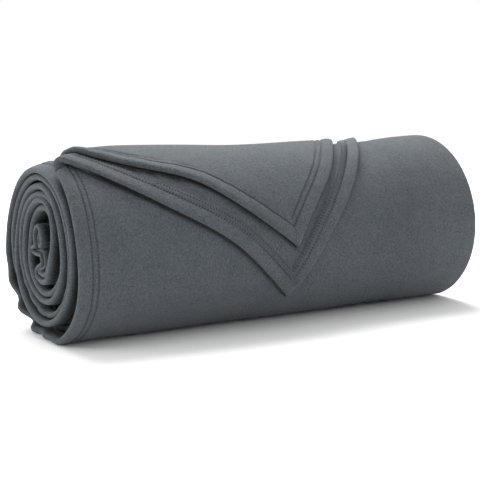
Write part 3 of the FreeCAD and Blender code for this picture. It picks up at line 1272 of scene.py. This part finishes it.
@dataclass
class HemStitching:
    """The twin-needle stitching of one hem: two needle threads in front, a looper behind."""

    form: ThrowForm
    finish: bpy.types.Material
    ply: Ply
    edge: Edge
    start: float
    stop: float
    moving: bool = False
    stitch: float = 3.2 * MM
    radius: float = 0.3 * MM
    sides: int = 5
    # One stitch: the needle thread's lift, and the looper thread's swing, reach and lift.
    needle_lift: tuple[float, ...] = (-0.75, 0.15, 0.3, 0.15)
    looper_swing: tuple[float, ...] = (0, 0.5, 1, 1, 0.5, 0)
    looper_lift: tuple[float, ...] = (0.1, 0.45, 0.1, 0.1, 0.45, 0.1)
    looper_past: float = 0.6 * MM

    def spots(self, inset: np.ndarray, run: np.ndarray) -> tuple[np.ndarray, np.ndarray]:
        """Sheet coordinates at distances in from the edge and along it.

        Args:
            inset: Distance in from the edge.
            run: Distance along the edge.

        Returns:
            The distances across the sheet and outwards from the crest.
        """
        form = self.form
        if self.edge is Edge.SIDE:
            along, around = form.open_edge(self.ply, run) + inset, run
        elif self.edge is Edge.END:
            along, around = run, form.end_around(float(self.ply.value), run) - inset
        else:
            along, around = run, form.core + inset
        return (along if self.ply is Ply.OUTER else form.width - along), around

    def path(self, inset: np.ndarray, run: np.ndarray, lift: np.ndarray, face: Face) -> np.ndarray:
        """Points on one face of the hem, lifted off it.

        Args:
            inset: Distance in from the edge.
            run: Distance along the edge.
            lift: Height off the cloth.
            face: The side of the cloth.

        Returns:
            One row for each point.
        """
        across, around = self.spots(inset, run)
        front, back = self.form.surfaces(across, around)
        normal = self.form.normal(across, around)
        surface = front if face is Face.FRONT else back
        return surface + normal * (face.value * lift)[:, None]

    def stitches(self, points: int) -> tuple[np.ndarray, np.ndarray]:
        """Distances along the hem, with some points to each stitch, and each one's number in it.

        Args:
            points: Points to each stitch.

        Returns:
            The distances, and each point's number in its stitch.
        """
        count = max(2, int((self.stop - self.start) / self.stitch))
        run = np.linspace(self.start, self.stop, points * count + 1)
        return run, np.arange(len(run)) % points

    def needle(self, row: float) -> np.ndarray:
        """One needle thread: it dips into the cloth at each end of a stitch.

        Args:
            row: The stitch row's distance in from the edge.

        Returns:
            Points along the thread.
        """
        run, number = self.stitches(len(self.needle_lift))
        lift = np.array(self.needle_lift)[number] * MM
        return self.path(np.full_like(run, row), run, lift, Face.FRONT)

    def looper(self) -> np.ndarray:
        """The looper thread: a ladder that crosses from one row to the other at every stitch.

        Returns:
            Points along the thread.
        """
        run, number = self.stitches(len(self.looper_swing))
        near, far = self.form.cloth.rows
        width = far - near + 2 * self.looper_past
        inset = near - self.looper_past + width * np.array(self.looper_swing)[number]
        return self.path(inset, run, np.array(self.looper_lift)[number] * MM, Face.BACK)

    def build(self) -> list[bpy.types.Object]:
        """Builds the hem's three threads.

        Returns:
            The new objects.
        """
        base = f"{'corner_' if self.moving else ''}{self.ply.label}_{self.edge.value}"
        near, far = self.form.cloth.rows
        runs = {
            f"{base}_needle_thread_1": self.needle(near),
            f"{base}_needle_thread_2": self.needle(far),
            f"{base}_looper_thread": self.looper(),
        }
        made = []
        for node, path in runs.items():
            name = node.replace("corner_", "turned_corner_") if self.moving else "roll_" + node
            piece = thread(name, path, self.radius, self.sides)
            piece.data.materials.append(self.finish)
            if self.moving:
                bend_with_corner(piece)
                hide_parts(node, node.replace("corner_", "turned_"))
            else:
                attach(piece, ROLL_BODY)
                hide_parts(node)
            made.append(piece)
        return made


def hems_of(form: ThrowForm, sewing: bpy.types.Material, ply: Ply) -> list[HemStitching]:
    """The stitched hems of one ply: its side and its core in the roll, its side and end outside.

    Args:
        form: The rolled sheet's form.
        sewing: The thread's material.
        ply: The ply.

    Returns:
        The hems, ready to build.
    """
    margin, fold_margin, tip_margin = 2 * MM, 10 * MM, 20 * MM
    edge_at_crest, edge_at_core = form.open_edge(ply, np.array([0, form.core])).tolist()
    crest = float(form.crest_around(np.array(edge_at_crest + form.cloth.rows[0])))
    end = float(form.end_around(float(ply.value), np.array(0.0)))
    left = float(form.open_edge(ply, np.array(end)))
    tip = form.tip(ply) - tip_margin
    stop = form.length - fold_margin
    return [
        HemStitching(form, sewing, ply, Edge.SIDE, form.core + margin, crest - margin),
        HemStitching(form, sewing, ply, Edge.CORE, edge_at_core + margin, stop),
        HemStitching(form, sewing, ply, Edge.SIDE, crest, end - margin, moving=True),
        HemStitching(form, sewing, ply, Edge.END, left + margin, tip, moving=True),
    ]


# ---- the studio ----------------------------------------------------------------------------------


@dataclass(frozen=True)
class SoftLight:
    """One soft square light that points at a place."""

    name: str
    place: Spot
    aim: Spot
    size: float
    power: float

    def build(self) -> None:
        """Adds the light to the scene."""
        data = bpy.data.lights.new(self.name, "AREA")
        data.size = self.size
        data.energy = self.power
        made = bpy.data.objects.new(self.name, data)
        made.location = self.place
        made.rotation_mode = "QUATERNION"
        made.rotation_quaternion = (Vector(self.aim) - Vector(self.place)).to_track_quat("-Z", "Y")
        bpy.context.scene.collection.objects.link(made)


@dataclass
class Studio:
    """A pale floor, soft light from above and a camera."""

    azimuth: float = -32.32
    elevation: float = 8.24
    distance: float = 1.342
    lens: float = 90.05
    sensor: float = 36
    aim: Spot = (0, 0, 0.0866)
    shift: tuple[float, float] = (-0.0081, -0.0030)
    floor_size: float = 20
    floor_near: Colour = (0.84, 0.84, 0.84, 1)
    floor_spread: tuple[float, float, float] = (0.5, 0.5, 0.5)
    lights: tuple[SoftLight, ...] = (
        SoftLight("overhead", (0.2, 0.85, 1.55), (0, 0, 0.1), 1.4, 57),
        SoftLight("left", (-1.6, 0.1, 0.9), (-0.2, 0, 0.1), 0.9, 8),
    )

    def camera(self) -> None:
        """Sets up the camera."""
        turn, rise = math.radians(self.azimuth), math.radians(self.elevation)
        back = Vector((math.sin(turn) * math.cos(rise), -math.cos(turn) * math.cos(rise), math.sin(rise)))
        right = Vector((math.cos(turn), math.sin(turn), 0))
        target = Vector(self.aim) + right * self.shift[0] + back.cross(right) * self.shift[1]
        data = bpy.data.cameras.new("camera")
        data.lens = self.lens
        data.sensor_width = self.sensor
        made = bpy.data.objects.new("camera", data)
        made.location = target + back * self.distance
        made.rotation_mode = "QUATERNION"
        made.rotation_quaternion = (-back).to_track_quat("-Z", "Y")
        bpy.context.scene.collection.objects.link(made)
        bpy.context.scene.camera = made

    def floor(self) -> None:
        """Lays a large pale floor, a little darker where it is lit most."""
        builder = bmesh.new()
        bmesh.ops.create_grid(builder, x_segments=1, y_segments=1, size=self.floor_size)
        made = finished("floor", builder)
        nodes = NodeTree("pale_floor", Roughness=0.9, Specular_IOR_Level=0.0)
        place = nodes.add("TexCoord")
        spread = nodes.add("Mapping")
        spread.inputs["Scale"].default_value = self.floor_spread
        nodes.link(place, "Object", spread, "Vector")
        fade = nodes.add("TexGradient", gradient_type="SPHERICAL")
        nodes.link(spread, "Vector", fade, "Vector")
        ramp = nodes.ramp(fade, "Fac", {0.0: WHITE, 1.0: self.floor_near})
        nodes.link(ramp, "Color", nodes.surface, "Base Color")
        made.data.materials.append(nodes.material)

    def surround(self) -> None:
        """Sets up a plain white surround."""
        world = bpy.data.worlds.new("surround")
        world.use_nodes = True
        world.node_tree.nodes["Background"].inputs["Color"].default_value = WHITE
        world.node_tree.nodes["Background"].inputs["Strength"].default_value = 1.0
        bpy.context.scene.world = world
        bpy.context.scene.view_settings.view_transform = "Standard"

    def build(self) -> None:
        """Builds the whole studio."""
        self.camera()
        self.floor()
        self.surround()
        for light in self.lights:
            light.build()


def declare_sheet(form: ThrowForm) -> None:
    """Args:
        form: The rolled sheet's form.
    """
    along = np.linspace(0, form.length, 400)
    depth = np.clip(form.end_around(0.0, along) - form.crest_around(along), 0, None)


def main() -> None:
    """Builds the throw and its studio."""
    logging.basicConfig(level=logging.INFO, format="%(name)s: %(message)s")
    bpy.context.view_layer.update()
    Studio().build()
    form = ThrowForm()
    fleece, sewing = FleeceFinish().material(), ThreadFinish().material()
    roll = RolledSheet(form, fleece).build()
    corners = [TurnedCorner(form, fleece, ply).build() for ply in Ply]
    threads = [piece for ply in Ply for hem in hems_of(form, sewing, ply) for piece in hem.build()]
    for piece in [roll, *corners, *threads]:
        LOG.info("%s: %d faces", piece.name, len(piece.data.polygons))
    declare_sheet(form)


if __name__ == "__main__":
    main()
